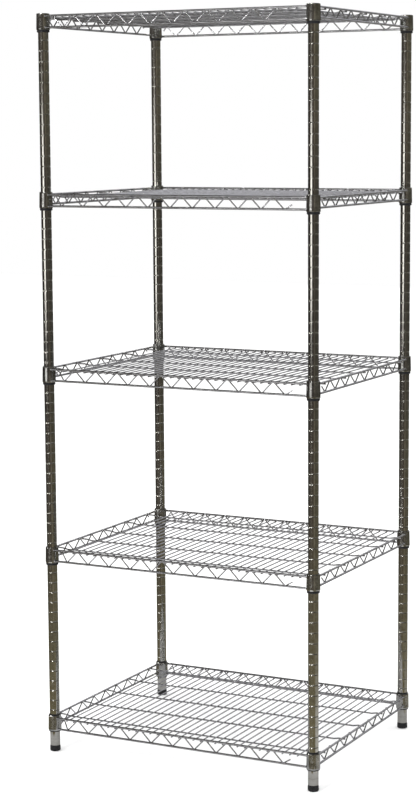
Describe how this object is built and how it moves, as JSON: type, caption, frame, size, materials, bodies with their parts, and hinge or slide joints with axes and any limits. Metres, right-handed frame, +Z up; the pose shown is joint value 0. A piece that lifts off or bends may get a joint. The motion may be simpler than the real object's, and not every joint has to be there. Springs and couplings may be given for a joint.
{
  "type": "wire shelving rack",
  "caption": "Free-standing chrome wire shelving rack: welded wire shelves with truss edges, held by tapered collars on grooved round posts with levelling feet.",
  "frame": {"origin": "on the floor under the middle of the rack", "axes": "+Z up along the posts, +X along the long front side to the right, +Y from the front to the back"},
  "size_m": [0.7546, 0.6026, 1.85],
  "materials": {
    "chrome_post": "bright chrome plate on rolled steel tube, faint draw lines",
    "chrome_collar": "chrome plate, slightly duller than the posts",
    "chrome_wire": "bright chrome plate on drawn wire, welds plated over",
    "zinc_steel": "zinc-plated steel",
    "black_plastic": "moulded, fine texture",
    "sleeve_plastic": "moulded, satin",
    "foot_plastic": "moulded, satin, scuffed at the lower edge"
  },
  "bodies": {
    "posts": {"front_left_post": "chrome_post", "front_left_post_cap": "black_plastic", "front_left_threaded_insert": "zinc_steel", "front_right_post": "chrome_post", "front_right_post_cap": "black_plastic", "front_right_threaded_insert": "zinc_steel", "back_left_post": "chrome_post", "back_left_post_cap": "black_plastic", "back_left_threaded_insert": "zinc_steel", "back_right_post": "chrome_post", "back_right_post_cap": "black_plastic", "back_right_threaded_insert": "zinc_steel", "shelf_1_split_sleeves": "sleeve_plastic", "shelf_2_split_sleeves": "sleeve_plastic", "shelf_3_split_sleeves": "sleeve_plastic", "shelf_4_split_sleeves": "sleeve_plastic", "shelf_5_split_sleeves": "sleeve_plastic"},
    "shelf_1": {"shelf_1_corner_collars": "chrome_collar", "shelf_1_top_rim": "chrome_wire", "shelf_1_bottom_rim": "chrome_wire", "shelf_1_truss_wires": "chrome_wire", "shelf_1_deck_wires": "chrome_wire", "shelf_1_cross_supports": "chrome_wire"},
    "shelf_2": {"shelf_2_corner_collars": "chrome_collar", "shelf_2_top_rim": "chrome_wire", "shelf_2_bottom_rim": "chrome_wire", "shelf_2_truss_wires": "chrome_wire", "shelf_2_deck_wires": "chrome_wire", "shelf_2_cross_supports": "chrome_wire"},
    "shelf_3": {"shelf_3_corner_collars": "chrome_collar", "shelf_3_top_rim": "chrome_wire", "shelf_3_bottom_rim": "chrome_wire", "shelf_3_truss_wires": "chrome_wire", "shelf_3_deck_wires": "chrome_wire", "shelf_3_cross_supports": "chrome_wire"},
    "shelf_4": {"shelf_4_corner_collars": "chrome_collar", "shelf_4_top_rim": "chrome_wire", "shelf_4_bottom_rim": "chrome_wire", "shelf_4_truss_wires": "chrome_wire", "shelf_4_deck_wires": "chrome_wire", "shelf_4_cross_supports": "chrome_wire"},
    "shelf_5": {"shelf_5_corner_collars": "chrome_collar", "shelf_5_top_rim": "chrome_wire", "shelf_5_bottom_rim": "chrome_wire", "shelf_5_truss_wires": "chrome_wire", "shelf_5_deck_wires": "chrome_wire", "shelf_5_cross_supports": "chrome_wire"},
    "front_left_foot": {"front_left_foot_stem": "zinc_steel", "front_left_foot_glide": "foot_plastic"},
    "front_right_foot": {"front_right_foot_stem": "zinc_steel", "front_right_foot_glide": "foot_plastic"},
    "back_left_foot": {"back_left_foot_stem": "zinc_steel", "back_left_foot_glide": "foot_plastic"},
    "back_right_foot": {"back_right_foot_stem": "zinc_steel", "back_right_foot_glide": "foot_plastic"}
  },
  "joints": [
    {"name": "shelf_1_lift", "type": "slide", "parent": "posts", "child": "shelf_1", "axis": [0, 0, 1], "range_m": [0, 0.045]},
    {"name": "shelf_2_lift", "type": "slide", "parent": "posts", "child": "shelf_2", "axis": [0, 0, 1], "range_m": [0, 0.38]},
    {"name": "shelf_3_lift", "type": "slide", "parent": "posts", "child": "shelf_3", "axis": [0, 0, 1], "range_m": [0, 0.38]},
    {"name": "shelf_4_lift", "type": "slide", "parent": "posts", "child": "shelf_4", "axis": [0, 0, 1], "range_m": [0, 0.405]},
    {"name": "shelf_5_lift", "type": "slide", "parent": "posts", "child": "shelf_5", "axis": [0, 0, 1], "range_m": [0, 0.385]},
    {"name": "front_left_foot_level", "type": "slide", "parent": "posts", "child": "front_left_foot", "axis": [0, 0, -1], "range_m": [0, 0.02]},
    {"name": "front_right_foot_level", "type": "slide", "parent": "posts", "child": "front_right_foot", "axis": [0, 0, -1], "range_m": [0, 0.02]},
    {"name": "back_left_foot_level", "type": "slide", "parent": "posts", "child": "back_left_foot", "axis": [0, 0, -1], "range_m": [0, 0.02]},
    {"name": "back_right_foot_level", "type": "slide", "parent": "posts", "child": "back_right_foot", "axis": [0, 0, -1], "range_m": [0, 0.02]}
  ]
}
